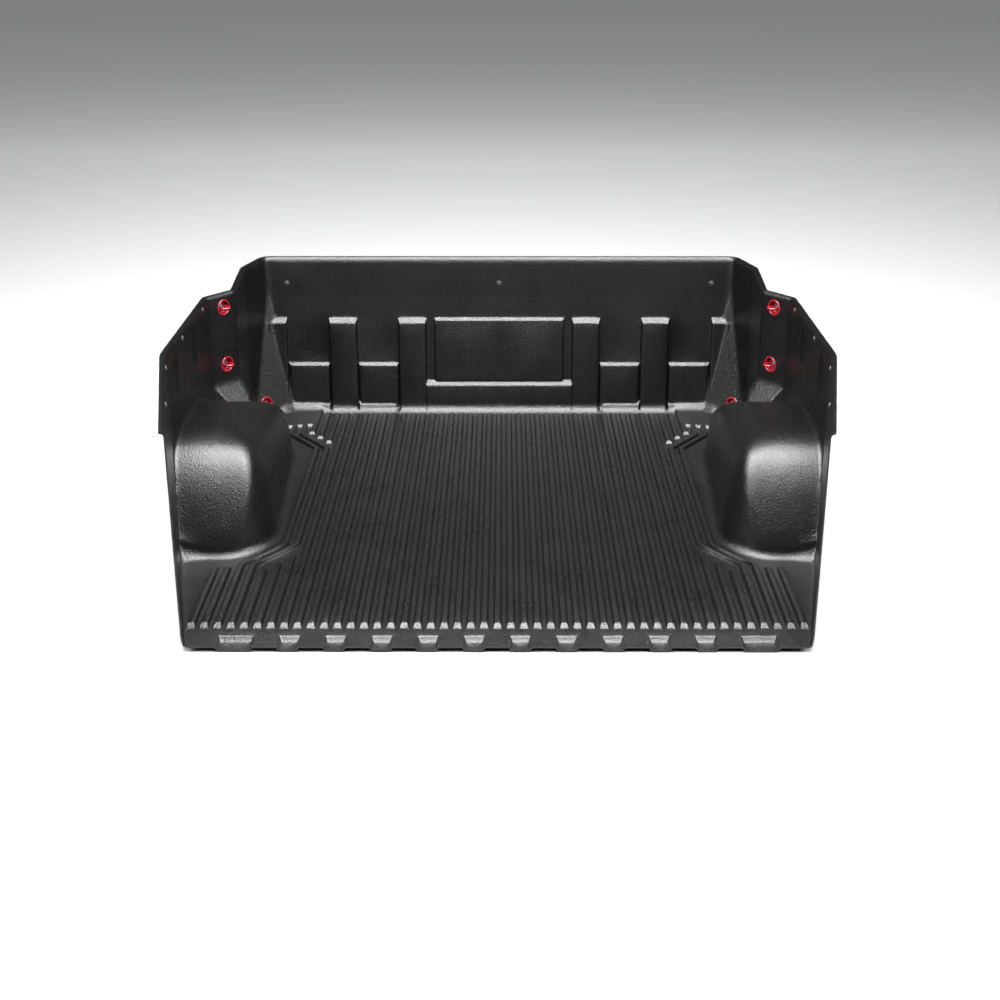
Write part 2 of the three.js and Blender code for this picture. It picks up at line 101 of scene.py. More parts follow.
def nearest(points, line):
    """Distance of each point from a polyline, its side (left positive) and the length along it."""
    a, b = line[:-1], line[1:]
    ab = b - a
    size = (ab ** 2).sum(1)
    start = along(line)[:-1]
    length = np.sqrt(size)
    found = [np.empty(len(points)) for _ in range(3)]
    for low in range(0, len(points), 3000):
        part = points[low:low + 3000]
        ap = part[:, None, :] - a[None]
        t = np.clip((ap * ab).sum(2) / size, 0, 1)
        off = ap - t[..., None] * ab
        far = (off ** 2).sum(2)
        i = far.argmin(1)
        rows = np.arange(len(part))
        cross = ab[i, 0] * off[rows, i, 1] - ab[i, 1] * off[rows, i, 0]
        found[0][low:low + 3000] = np.sqrt(far[rows, i])
        found[1][low:low + 3000] = np.where(cross >= 0, 1.0, -1.0)
        found[2][low:low + 3000] = start[i] + t[rows, i] * length[i]
    return found


def rounded(corners, radii, step):
    """A polyline whose inner corners are arcs of the given radii, sampled at about one step."""
    corners = [np.array(c, float) for c in corners]
    line = [corners[0]]
    for i in range(1, len(corners) - 1):
        before = corners[i] - corners[i - 1]
        after = corners[i + 1] - corners[i]
        u = before / np.hypot(*before)
        v = after / np.hypot(*after)
        turn = math.atan2(u[0] * v[1] - u[1] * v[0], float(u @ v))
        radius = radii[i - 1]
        reach = radius * math.tan(abs(turn) / 2)
        centre = corners[i] - u * reach + np.array([-u[1], u[0]]) * radius * math.copysign(1, turn)
        first = corners[i] - u * reach - centre
        count = max(3, int(math.ceil(abs(turn) / math.radians(6))))
        for k in range(count + 1):
            angle = turn * k / count
            c, s = math.cos(angle), math.sin(angle)
            line.append(centre + np.array([first[0] * c - first[1] * s, first[0] * s + first[1] * c]))
    line.append(corners[-1])
    full = [line[0]]
    for point in line[1:]:
        gap = np.hypot(*(point - full[-1]))
        parts = max(1, int(math.ceil(gap / step)))
        start = full[-1]
        for k in range(1, parts + 1):
            full.append(start + (point - start) * k / parts)
    return np.array(full)


# --- floor height -----------------------------------------------------------------------------

RIGHT_ROUTES = []
for rib in (21, 20):
    outer = rib * RIB_PITCH
    inner = outer - BEND_SHIFT
    RIGHT_ROUTES.append([(outer, 0), (outer, REAR_BEND[0]), (inner, REAR_BEND[1]),
                         (inner, FRONT_BEND[0]), (outer, FRONT_BEND[1]), (outer, PAD_Y + 12)])
for rib in (23, 22):
    RIGHT_ROUTES.append([(rib * RIB_PITCH, 0), (rib * RIB_PITCH, 370)])
BEND_SLOPE = (REAR_BEND[1] - REAR_BEND[0]) / BEND_SHIFT
for rib in (19, 18, 17):
    rise = (19 - rib) * RIB_PITCH * BEND_SLOPE
    front_end = PAD_Y + 12 if rib == 19 else RIB_FRONT_Y
    RIGHT_ROUTES.append([(rib * RIB_PITCH, 0), (rib * RIB_PITCH, REAR_BEND[0] - 35 + rise)])
    RIGHT_ROUTES.append([(rib * RIB_PITCH, FRONT_BEND[1] + 10 - rise), (rib * RIB_PITCH, front_end)])
ALL_ROUTES = [[(rib * RIB_PITCH, 0), (rib * RIB_PITCH, RIB_FRONT_Y)] for rib in range(FULL_RIBS + 1)]
ALL_ROUTES += RIGHT_ROUTES

PAD_PLAN = rounded([(622, 1800), (622, PAD_Y), (740, PAD_Y - 30), (960, PAD_Y - 20)], [16, 40], 12)

ARCH_CORNER = [(770 - 130 * math.cos(a), 620 - 175 * math.sin(a))
               for a in np.radians(np.arange(90, -1, -6))]
ARCH_FOOT = np.vstack([
    rounded([(1000, 437), ARCH_CORNER[0]], [], 10)[:-1],
    np.array(ARCH_CORNER),
    rounded([(640, 620), (676, 1300), (745, 1430), (1040, 1470)], [220, 110], 14)[1:],
])
# Height of the arch against the distance in from its foot line, and in from its rear line.
INNER_RISE = ((0, 14, 30, 50, 75, 105, 148, 400), (14, 170, 222, 254, 272, 282, 287, 287))
REAR_RISE = ((0, 12, 36, 66, 100, 140, 185, 240, 400), (24, 60, 130, 196, 240, 268, 283, 300, 420))
SCOOPS = [(step * 114.5, 30.0) for step in (0.5, 1.5, 2.5, 3.5, 4.5)] + [(648.0, 48.0)]


def foot_radius(x):
    return 24 + 22 * smooth((x - 800) / 80)


def eased(d, table, spread_by):
    """A table read with its corners rounded over a given spread."""
    return sum(np.interp(d + spread_by * turn, *table) for turn in np.linspace(-1, 1, 7)) / 7


def rib_level(x, y):
    """0 in the grooves and 1 on the rib tops."""
    best = np.zeros_like(x)
    points = np.column_stack([x, y])
    half = RIB_FOOT / 2
    flank = (RIB_FOOT - RIB_TOP) / 2
    for route in ALL_ROUTES:
        line = np.array(route, float)
        near = (x > line[:, 0].min() - 16) & (x < line[:, 0].max() + 16)
        near &= (y > line[0, 1] - 12) & (y < line[-1, 1] + 12)
        if not near.any():
            continue
        long_line = line.copy()
        long_line[0, 1] -= 40
        long_line[-1, 1] += 40
        away = nearest(points[near], long_line)[0]
        rear = NOSE if line[0, 1] == 0 else FRONT_NOSE
        lengthwise = np.minimum((y[near] - line[0, 1]) / rear, (line[-1, 1] - y[near]) / FRONT_NOSE)
        t = soft_min((half - away) / flank, lengthwise, 0.25)
        best[near] = np.maximum(best[near], soft_unit(t))
    return best


def pad_level(x, y):
    away, side, _ = nearest(np.column_stack([x, y]), PAD_PLAN)
    return soft_unit(away * side / 6.0, 0.4)


def arch_profile(y):
    ys = [0, 700, 830, 920, 980, 1040, 1090, 1160, 1220, 1280, 1330, 1375, 1410, 1435, 2000]
    zs = [400, 340, 306, 288, 272, 252, 232, 198, 165, 122, 84, 42, -2, -56, -600]
    raw = sum(np.interp(y + shift, ys, zs) for shift in (-30, -18, -6, 6, 18, 30)) / 6
    return soft_max(raw, GROOVE_Z, 16)


def arch_height(x, y):
    away, side, _ = nearest(np.column_stack([x, y]), ARCH_FOOT)
    d = away * -side
    radius = foot_radius(x)
    low = GROOVE_Z + fillet_rise(-d, radius)
    inner = eased(d, INNER_RISE, np.clip(d * 0.6, 0, 14))
    inner = inner + (GROOVE_Z + radius - 14) * np.clip(1 - d / 14, 0, 1)
    from_rear = y - 445 + (x - 770) * 0.048
    rear = eased(from_rear, REAR_RISE, np.clip(from_rear * 0.6, 0, 16))
    rear = rear + (GROOVE_Z + radius - 24) * np.clip(1 - from_rear / 12, 0, 1)
    height = np.where(d < 0, low, soft_min(inner, rear, np.clip(d * 0.8, 0.5, 22)))
    return soft_min(height, arch_profile(y), 14)


def bare_floor(x, y):
    base = np.interp(y, [-130, -10], [-16, GROOVE_Z])
    for centre, half in SCOOPS:
        side = (np.abs(x - centre) - (half - 8)) / 8
        rear = (y + 46) / 18
        rise = soft_max(soft_max(side, rear, 0.5), 0.0, 0.5)
        base = soft_min(base, SCOOP_FLOOR + 24 * rise, 2.5)
    lift = np.maximum(10 * pad_level(x, y), arch_height(x, y) - GROOVE_Z)
    return base + np.maximum(lift, 0.0)


# --- walls ------------------------------------------------------------------------------------

TOP_PLAN = rounded(
    [(771.6, REAR_Y), (905, 565), (905, 1190), (832, 1290), (850, 1600), (806.6, WALL_Y), (0, WALL_Y)],
    [300, 25, 25, 40, 30], 5.0)
PATH_S = along(TOP_PLAN)
PATH_END = PATH_S[-1]
_tangent = np.gradient(TOP_PLAN, PATH_S, axis=0)
_tangent /= np.hypot(*_tangent.T)[:, None]
PATH_NORMAL = np.column_stack([-_tangent[:, 1], _tangent[:, 0]])


def path_at(y):
    """Length along the wall path at a given y on its side part."""
    side = TOP_PLAN[:, 1] < WALL_Y - 1
    return float(np.interp(y, TOP_PLAN[side, 1], PATH_S[side]))


CORNER_S = path_at(1740)
HEAD_S = PATH_END - 780.0

GUSSET_FOOT = np.array([850.0, 1600.0, GROOVE_Z])
GUSSET_INNER = np.array([712.0, 1745.0, GROOVE_Z])
GUSSET_TOP = np.array([803.0, WALL_Y, 430.0])
GUSSET_NORMAL = np.cross(GUSSET_TOP - GUSSET_FOOT, GUSSET_INNER - GUSSET_FOOT)
GUSSET_NORMAL /= np.linalg.norm(GUSSET_NORMAL)
GUSSET_CAP = np.array([-0.42, -0.42, 0.80])
GUSSET_CAP /= np.linalg.norm(GUSSET_CAP)
GUSSET_CAP_POINT = np.array([822.0, 1752.0, 452.0])

# Headboard blocks: x range, z range, depth.
BLOCKS = [
    (253, 353, -60, 328, 16),
    (495, 595, -60, 328, 16),
    (740, 828, -60, 328, 16),
    (353, 495, -60, 168, 10),
    (595, 740, -60, 168, 10),
    (360, 500, -60, 32, 14),
    (594, 734, -60, 32, 14),
    (55, 270, -60, 32, 14),
    (-227, 227, 96, 328, 9),
    (-262, 262, -60, 104, 16),
]
BLOCK_DRAFT = 6.0
BLOCK_RINGS = (-0.25, 0.0, 0.25, 0.5, 0.75, 1.0, 1.25)
# Pockets pressed outwards in the side wall: y range, z range.
POCKETS = [(350, 410, 385, 505), (590, 715, 385, 505), (880, 990, 385, 505)]
POCKET_DEPTH = 9.0


def path_point(s):
    return (np.interp(s, PATH_S, TOP_PLAN[:, 0]), np.interp(s, PATH_S, TOP_PLAN[:, 1]))


def path_normal(s):
    nx = np.interp(s, PATH_S, PATH_NORMAL[:, 0])
    ny = np.interp(s, PATH_S, PATH_NORMAL[:, 1])
    size = np.hypot(nx, ny)
    return nx / size, ny / size


def shift_normal(s):
    """The way the wall's features are pushed: the wall's normal, turned gently through the corner."""
    nx, ny = path_normal(s)
    turn = smooth((s - path_at(1570)) / (PATH_END - 690 - path_at(1570)))
    angle = math.pi * (1 + turn / 2)
    inside = (s > path_at(1570)) & (s < PATH_END - 690)
    return np.where(inside, np.cos(angle), nx), np.where(inside, np.sin(angle), ny)


def plain_wall(s, z):
    x, y = path_point(s)
    section = np.interp(z, [-80, -10, 290], [874, 880, 905])
    x = soft_min(x, section, 3.0)
    lean = (WALL_Y - WALL_FOOT_Y) * np.clip((BAND_Z - z) / (BAND_Z - GROOVE_Z), 0, None)
    return x, y - lean * smooth((s - (CORNER_S - 60)) / 90)


def block_depth(s, z):
    x = PATH_END - s
    depth = np.zeros_like(x)
    for x_low, x_high, z_low, z_high, full in BLOCKS:
        side = np.minimum(x - x_low, x_high - x) / BLOCK_DRAFT
        level = np.minimum(z_high - z, z - z_low) / full
        t = soft_min(side, level, 0.2)
        depth = np.maximum(depth, full * soft_unit(t, 0.25))
    return np.where(s > HEAD_S - 60, depth, 0.0)


def gusset_reach(s, z):
    """How far from the plain wall, along its normal, the gusset facet stands."""
    x, y = plain_wall(s, z)
    nx, ny = shift_normal(s)
    reach = None
    for normal, point in ((GUSSET_NORMAL, GUSSET_FOOT), (GUSSET_CAP, GUSSET_CAP_POINT)):
        offset = (point[0] - x) * normal[0] + (point[1] - y) * normal[1] + (point[2] - z) * normal[2]
        slope = np.minimum(nx * normal[0] + ny * normal[1], -0.05) if normal[1] > 0 else \
            np.maximum(nx * normal[0] + ny * normal[1], 0.05)
        t = offset / slope
        reach = t if reach is None else soft_min(reach, t, 3.0)
    region = (s > path_at(1560)) & (s < PATH_END - 660)
    return np.where(region, np.clip(reach, -40, 150), -40.0)


def pocket_depth(s, z):
    _, y = path_point(s)
    depth = np.zeros_like(y)
    for y_low, y_high, z_low, z_high in POCKETS:
        ends = np.minimum((y - y_low) / 16, (y_high - y) / 16)
        level = np.minimum((z - z_low) / 14, (z_high - z) / 30)
        depth = np.maximum(depth, soft_unit(soft_min(ends, level, 0.3), 0.3))
    return np.where(s < path_at(1150), -POCKET_DEPTH * depth, 0.0)


def column_ramp(s, z):
    """The sloped foot of the tie-down panel, where it comes down on the wheel arch."""
    side = np.minimum((s - path_at(1196)) * 1.6, (path_at(1312) - s) * 1.6)
    return np.minimum(np.minimum((248 - z) * 0.72, side), 84.0)


def wall_shift(s, z):
    shift = block_depth(s, z) + pocket_depth(s, z)
    shift = soft_max(shift, gusset_reach(s, z), 4.0)
    return soft_max(shift, column_ramp(s, z), 6.0)


def wall_point(s, z, extra=0.0):
    x, y = plain_wall(s, z)
    nx, ny = shift_normal(s)
    shift = wall_shift(s, z) + extra
    return x + nx * shift, y + ny * shift


def foot_fillet(s):
    marks = [0, path_at(380), path_at(440), path_at(1150), path_at(1195), path_at(1285),
             path_at(1330), CORNER_S, HEAD_S + 20, PATH_END]
    return np.interp(s, marks, [11, 11, 14, 14, 14, 14, 14, 14, 34, 34])


def junction_samples():
    side_y = list(np.arange(REAR_Y, 1735, 12.0))
    side_y += list(np.arange(416, 470, 1.5)) + list(np.arange(470, 610, 5.0))
    side_y += list(np.arange(1180, 1310, 4.0)) + list(np.arange(1390, 1470, 5.0))
    side_y += list(np.arange(1520, 1735, 5.0))
    samples = [path_at(y) for y in side_y]
    samples += list(np.arange(path_at(1725), HEAD_S, 3.0))
    samples += list(np.arange(HEAD_S, PATH_END, 10.0)) + [PATH_END]
    for x_low, x_high, _, _, _ in BLOCKS:
        for edge, turn in ((x_low, 1), (x_high, -1)):
            for t in (-0.6, -0.2, 0.1, 0.4, 0.7, 1.0, 1.4):
                s = PATH_END - (edge + turn * BLOCK_DRAFT * t)
                if HEAD_S - 20 < s < PATH_END:
                    samples.append(s)
    samples = np.unique(np.round(np.array(samples), 3))
    keep = [samples[0]]
    for s in samples[1:]:
        if s - keep[-1] > 0.7:
            keep.append(s)
    keep[-1] = PATH_END
    return np.array(keep)


FOOT_S = junction_samples()
_level = np.full(len(FOOT_S), GROOVE_Z)
for _ in range(12):
    _x, _y = wall_point(FOOT_S, _level)
    _level = 0.4 * _level + 0.6 * bare_floor(_x, _y)
FOOT_LEVEL = _level
FOOT_X, FOOT_Y = wall_point(FOOT_S, FOOT_LEVEL)
FOOT_LINE = np.column_stack([FOOT_X, FOOT_Y])
FOOT_RUN = along(FOOT_LINE)
FOOT_RADIUS = foot_fillet(FOOT_S)
CREEP = 1 - math.sqrt(0.5)
_nx, _ny = shift_normal(FOOT_S)
JUNCTION = np.column_stack([
    FOOT_X + _nx * FOOT_RADIUS * CREEP,
    FOOT_Y + _ny * FOOT_RADIUS * CREEP,
    FOOT_LEVEL + FOOT_RADIUS * CREEP,
])
JUNCTION[-1, 0] = 0.0


def floor_height(x, y):
    away, _, run = nearest(np.column_stack([x, y]), FOOT_LINE)
    radius = np.interp(run, FOOT_RUN, FOOT_RADIUS)
    ribs = np.where(y > -1.0, GROOVE_Z + 10 * rib_level(x, y), -100.0)
    return np.maximum(bare_floor(x, y) + fillet_rise(away, radius), ribs)


def skin_wall(s, z):
    rise = z - np.interp(s, FOOT_S, FOOT_LEVEL)
    return wall_point(s, z, fillet_rise(rise, foot_fillet(s)))


# --- triangulated patches ---------------------------------------------------------------------

class Plan:
    """Points and fixed lines of one flat patch, ready for a constrained triangulation."""

    def __init__(self, border):
        self.points = [tuple(p) for p in border]
        count = len(border)
        self.edges = [(i, (i + 1) % count) for i in range(count)]
        self.border = np.array(border)

    def add_line(self, line, closed=False):
        start = len(self.points)
        self.points += [tuple(p) for p in line]
        self.edges += [(start + i, start + i + 1) for i in range(len(line) - 1)]
        if closed:
            self.edges.append((start + len(line) - 1, start))

    def add_points(self, points):
        self.points += [tuple(p) for p in points]

    def inside(self, points, margin):
        """Which points lie inside the border, at least a margin from it."""
        ring = np.vstack([self.border, self.border[:1]])
        away = nearest(points, ring)[0]
        x, y = points[:, 0], points[:, 1]
        hit = np.zeros(len(points), bool)
        for (x0, y0), (x1, y1) in zip(ring[:-1], ring[1:]):
            if y0 == y1:
                continue
            crosses = (y0 > y) != (y1 > y)
            hit ^= crosses & (x < (x1 - x0) * (y - y0) / (y1 - y0) + x0)
        return hit & (away > margin)

    def add_clipped(self, line, margin):
        """The parts of an open line that lie inside the border."""
        line = np.asarray(line, float)
        keep = self.inside(line, margin)
        run = []
        for point, good in zip(line, keep):
            if good:
                run.append(point)
            elif run:
                self.add_line(run)
                run = []
        if run:
            self.add_line(run)

    def solve(self):
        vectors = [Vector(p) for p in self.points]
        verts, _, faces, origin, _, _ = delaunay_2d_cdt(vectors, self.edges, [], 1, 0.02)
        flat = np.array([tuple(v) for v in verts])
        return flat, faces, origin


RING_STEPS = (-0.3, -0.1, 0.15, 0.5, 0.85, 1.1, 1.3)


def rib_rings(route):
    """Nested outlines of one rib, from just outside its foot to just inside its top."""
    line = np.array(route, float)
    rear = NOSE if line[0, 1] == 0 else FRONT_NOSE
    rings = []
    for t in RING_STEPS:
        half = RIB_FOOT / 2 - (RIB_FOOT - RIB_TOP) / 2 * t
        middle = line.copy()
        middle[0, 1] += rear * t
        middle[-1, 1] -= FRONT_NOSE * t
        right, left = [], []
        for i, point in enumerate(middle):
            before = middle[max(i, 1)] - middle[max(i, 1) - 1]
            after = middle[min(i + 1, len(middle) - 1)] - middle[min(i, len(middle) - 2)]
            before = before / np.hypot(*before)
            after = after / np.hypot(*after)
            scale = half / (1 + before @ after)
            step = np.array([before[1] + after[1], -(before[0] + after[0])]) * scale
            right.append(point + step)
            left.append(point - step)
        rings.append((densify(right, 60), densify(left, 60)))
    return rings


def densify(points, step):
    line = [points[0]]
    for point in points[1:]:
        start = line[-1]
        parts = max(1, int(math.ceil(np.hypot(*(point - start)) / step)))
        line += [start + (point - start) * k / parts for k in range(1, parts + 1)]
    return line


def floor_patch():
    rear_x = np.arange(20.0, JUNCTION[0, 0], 20.0)
    border = [(0.0, REAR_Y)] + [(x, REAR_Y) for x in rear_x if x < JUNCTION[0, 0] - 6]
    first = len(border)
    border += [(x, y) for x, y, _ in JUNCTION]
    last_y = JUNCTION[-1, 1]
    centre_y = list(np.arange(last_y - 40, 40, -60.0)) + [0.0, -28.0, -46.0, -60.0]
    border += [(0.0, y) for y in centre_y]
    plan = Plan(border)

    for route in ALL_ROUTES:
        for right, left in rib_rings(route):
            if route[0][0] == 0:
                plan.add_line([(0.0, right[0][1])] + right + [(0.0, right[-1][1])])
            else:
                loop = np.array(right + left[::-1])
                if plan.inside(loop, 1.0).all():
                    plan.add_line(loop, closed=True)
                else:
                    plan.add_clipped(np.vstack([loop, loop[:1]]), 1.0)

    for centre, half in SCOOPS:
        for t in (-0.35, -0.1, 0.1, 0.25, 0.4, 0.55, 0.7):
            reach = half - 8 + 8 * t
            top = -46 + 18 * t
            arc = []
            for a in np.radians(np.arange(0, 91, 18)):
                arc.append((reach - 5 + 5 * math.cos(a), top - 5 + 5 * math.sin(a)))
            right = [(centre + x, y) for x, y in arc]
            left = [(centre - x, y) for x, y in arc[::-1]]
            line = [(centre + reach, REAR_Y)] + right + left + [(centre - reach, REAR_Y)]
            plan.add_line(line)

    for t in (-0.3, 0.0, 0.3, 0.7, 1.0, 1.3):
        plan.add_clipped(offset_line(PAD_PLAN, 6 * t), 2.0)

    fillet_marks = (-1.1, -1.0, -0.8, -0.62, -0.46, -0.32, -0.2, -0.1, -0.03)
    normals = line_normals(ARCH_FOOT)
    for mark in fillet_marks:
        reach = foot_radius(ARCH_FOOT[:, 0]) * mark
        plan.add_clipped(ARCH_FOOT - normals * reach[:, None], 1.2)
    for d in (0, 2, 4, 7, 10, 13, 16, 20, 25, 31, 38, 46, 55, 66, 78, 92):
        plan.add_clipped(ARCH_FOOT - normals * d, 1.2)
    grid = np.array([(x, y) for x in np.arange(660, 905, 13) for y in np.arange(540, 1450, 16)])
    away, side, _ = nearest(grid, ARCH_FOOT)
    deep = grid[(away * -side > 96)]
    plan.add_points(deep[plan.inside(deep, 16.0)])

    nx, ny = shift_normal(FOOT_S)
    for mark in (0.42, 0.58, 0.78, 1.0, 1.15):
        ring = FOOT_LINE + np.column_stack([nx, ny]) * (FOOT_RADIUS * mark)[:, None]
        plan.add_points(ring[plan.inside(ring, 1.0)])

    flat, faces, origin = plan.solve()
    spots = np.column_stack([flat, floor_height(flat[:, 0], flat[:, 1])])
    fix_border(spots, origin, {first + i: JUNCTION[i] for i in range(len(JUNCTION))})
    return spots, faces


def fix_border(spots, origin, places):
    for i, sources in enumerate(origin):
        for source in sources:
            if source in places:
                spots[i] = places[source]


def line_normals(line):
    """Left-hand normals of a polyline, one per point."""
    tangent = np.gradient(line, along(line), axis=0)
    tangent /= np.hypot(*tangent.T)[:, None]
    return np.column_stack([-tangent[:, 1], tangent[:, 0]])


def offset_line(line, distance):
    return line + line_normals(line) * distance


# --- places of the hardware -------------------------------------------------------------------

def side_place(y, z, side):
    corners = [(763.5, -130), (905, 565), (905, 1190), (832, 1290), (850, 1600)]
    for (x0, y0), (x1, y1) in zip(corners[:-1], corners[1:]):
        if y <= y1:
            break
    x = x0 + (x1 - x0) * (y - y0) / (y1 - y0)
    run = Vector((x1 - x0, y1 - y0, 0)).normalized()
    return Vector((x * side, y, z)), Vector((-run.y * side, run.x, 0))


def gusset_place(side):
    x, z = 812.0, 45.0
    n = GUSSET_NORMAL
    y = GUSSET_FOOT[1] - (n[0] * (x - GUSSET_FOOT[0]) + n[2] * (z - GUSSET_FOOT[2])) / n[1]
    return Vector((x * side, y, z)), Vector((n[0] * side, n[1], n[2]))


def seat(place):
    point, normal = place
    normal = normal.normalized()
    level = Vector((0, 0, 1)).cross(normal).normalized()
    up = normal.cross(level)
    turn = Matrix((level, up, normal)).transposed().to_4x4()
    return Matrix.Translation((point + SHIFT) * MM) @ turn


RIVETS = {
    "headboard_left": (Vector((-735, WALL_Y, 448)), Vector((0, -1, 0))),
    "headboard_centre": (Vector((0, WALL_Y, 448)), Vector((0, -1, 0))),
    "headboard_right": (Vector((735, WALL_Y, 448)), Vector((0, -1, 0))),
}
TIES = {}
for word, side in (("left", -1), ("right", 1)):
    for k, y in enumerate((180, 500, 800, 1120)):
        RIVETS[f"rail_{word}_{k + 1}"] = side_place(y, 518, side)
    TIES[f"lower_{word}"] = side_place(1246, 310, side)
    TIES[f"upper_{word}"] = side_place(1246, 495, side)
    TIES[f"floor_{word}"] = gusset_place(side)

HOLES = [(*RIVETS[name], 4.2, 12) for name in RIVETS if "right" in name]
HOLES.append((*RIVETS["headboard_centre"], 4.2, 12))
HOLES += [(*TIES[name], 23.8, 48) for name in TIES if name.endswith("right")]


def hole_ring(point, normal, radius, count):
    """The hole's outline in wall coordinates: length along the path and height."""
    level = Vector((0, 0, 1)).cross(normal).normalized()
    up = normal.cross(level)
    s = np.arange(0, PATH_END, 1.0)
    nx, ny = shift_normal(s)
    ring = []
    for k in range(count):
        angle = math.tau * k / count
        spot = point + (level * math.cos(angle) + up * math.sin(angle)) * radius
        x, y = plain_wall(s, np.full_like(s, spot.z))
        cross = (spot.x - x) * ny - (spot.y - y) * nx
        close = np.hypot(spot.x - x, spot.y - y) < 120
        best = None
        for i in np.nonzero((cross[:-1] * cross[1:] <= 0) & close[:-1])[0]:
            share = cross[i] / (cross[i] - cross[i + 1]) if cross[i] != cross[i + 1] else 0.0
            gap = math.hypot(spot.x - x[i], spot.y - y[i])
            if best is None or gap < best[0]:
                best = (gap, s[i] + share)
        if best is not None:
            ring.append((min(best[1], PATH_END), spot.z))
    return ring


LIP_ANGLES = np.radians(np.arange(0, 91, 11.25))
LIP_REACH = 13.0


def lip_height(s):
    return 13 + 12 * smooth((s - CORNER_S) / 60)


def rim_z(s):
    return TOP_Z - lip_height(s)


def wall_patch():
    top_s = np.unique(np.concatenate([FOOT_S[::3], PATH_S]))
    keep = [top_s[0]]
    for s in top_s[1:]:
        if s - keep[-1] > 3.0:
            keep.append(s)
    keep[-1] = PATH_END
    top_s = np.array(keep)
    border = [(s, z) for s, z in zip(FOOT_S, JUNCTION[:, 2])]
    foot_count = len(border)
    centre_top = float(rim_z(PATH_END))
    centre_z = set(np.round(np.linspace(JUNCTION[-1, 2], centre_top, 26)[1:-1], 2))
    for x_low, _, z_low, z_high, depth in BLOCKS:
        if x_low < 0:
            for t in BLOCK_RINGS:
                centre_z.add(z_high - depth * t)
                centre_z.add(z_low + depth * t)
    low_z, high_z = JUNCTION[-1, 2] + 2, centre_top - 2
    border += [(PATH_END, z) for z in sorted(centre_z) if low_z < z < high_z]
    border += [(s, float(rim_z(s))) for s in top_s[::-1]]
    border += [(0.0, z) for z in np.linspace(rim_z(0.0), JUNCTION[0, 2], 20)[1:-1]]
    plan = Plan(border)

    for s_low, s_high, s_step, z_low, z_high, z_step in (
        (14, path_at(1170), 24, -20, 524, 24),
        (path_at(1175), path_at(1330), 5, -20, 250, 6),
        (path_at(1175), path_at(1330), 8, 256, 524, 14),
        (path_at(1325), path_at(1560), 16, -20, 524, 20),
        (path_at(1565), PATH_END - 695, 6, -20, 500, 6),
        (path_at(1565), PATH_END - 735, 8, 502, 524, 9),
        (PATH_END - 730, PATH_END - 5, 30, 340, 524, 24),
    ):
        grid = np.array([(s, z) for s in np.arange(s_low, s_high, s_step)
                         for z in np.arange(z_low, z_high, z_step)])
        plan.add_points(grid[plan.inside(grid, 4.0)])

    for mark in (0.42, 0.58, 0.78, 1.0, 1.15):
        ring = np.column_stack([FOOT_S, FOOT_LEVEL + FOOT_RADIUS * mark])
        plan.add_points(ring[plan.inside(ring, 1.0)])

    for z in (BAND_Z - 4, BAND_Z, BAND_Z + 4):
        plan.add_line([(HEAD_S + 4, z), (PATH_END, z)])
    for x_low, x_high, z_low, z_high, depth in BLOCKS:
        for t in BLOCK_RINGS:
            left = max(x_low + BLOCK_DRAFT * t, 0.0)
            right = min(x_high - BLOCK_DRAFT * t, 800.0)
            top = z_high - depth * t
            low = z_low + depth * t if z_low > 0 else 10.0
            if x_low < 0:
                corners = [(2.0, top), (right, top), (right, low)]
                corners += [(2.0, low)] if z_low > 0 else []
            else:
                corners = [(left, low), (left, top), (right, top), (right, low)]
            line = densify([np.array((PATH_END - x, z)) for x, z in corners], 18)
            plan.add_clipped(np.array(line), 0.5)
    for y_low, y_high, z_low, z_high in POCKETS:
        for t in (-0.25, 0.0, 0.25, 0.5, 0.75, 1.0, 1.25):
            a, b = path_at(y_low + 16 * t), path_at(y_high - 16 * t)
            low, top = z_low + 14 * t, z_high - 30 * t
            plan.add_line([(a, low), (b, low), (b, top), (a, top)], closed=True)
    for point, normal, radius, count in HOLES:
        ring = hole_ring(point, normal, radius, count)
        if abs(point.x) < 1:
            ring = [p for p in ring if p[0] < PATH_END - 0.01]
            ring.sort(key=lambda p: math.atan2(p[1] - point.z, p[0] - PATH_END) % math.tau)
            ring = [(PATH_END, point.z + radius)] + ring + [(PATH_END, point.z - radius)]
            plan.add_line(ring)
        else:
            plan.add_line(ring, closed=True)

    flat, faces, origin = plan.solve()
    x, y = skin_wall(flat[:, 0], flat[:, 1])
    x[flat[:, 0] > PATH_END - 1e-4] = 0.0
    spots = np.column_stack([x, y, flat[:, 1]])
    fix_border(spots, origin, {i: JUNCTION[i] for i in range(foot_count)})

    faces = [face for face in faces if not in_hole(spots[list(face)].mean(axis=0))]

    top_x, top_y = skin_wall(top_s, rim_z(top_s))
    top_x[-1] = 0.0
    nx, ny = path_normal(top_s)
    nx[-1], ny[-1] = 0.0, -1.0
    lip = []
    for angle in LIP_ANGLES:
        out = LIP_REACH * (1 - math.cos(angle))
        lip.append((top_x - nx * out, top_y - ny * out, TOP_Z - lip_height(top_s) * (1 - math.sin(angle))))
    lip.append((top_x - nx * FLANGE, top_y - ny * FLANGE, np.full_like(top_s, TOP_Z)))
    lip = [np.column_stack([x, np.maximum(y, REAR_Y), z]) for x, y, z in lip]
    count = len(top_s)
    lip_faces = []
    for r in range(len(lip) - 1):
        for i in range(count - 1):
            a, b = r * count + i, (r + 1) * count + i
            lip_faces.append((a, a + 1, b + 1, b))
    return (spots, faces), (np.vstack(lip), lip_faces)


def in_hole(centre):
    for point, normal, radius, _ in HOLES:
        off = Vector(centre) - point
        deep = off.dot(normal)
        if abs(deep) < 12 and (off - normal * deep).length < radius:
            return True
    return False


# --- meshes -----------------------------------------------------------------------------------

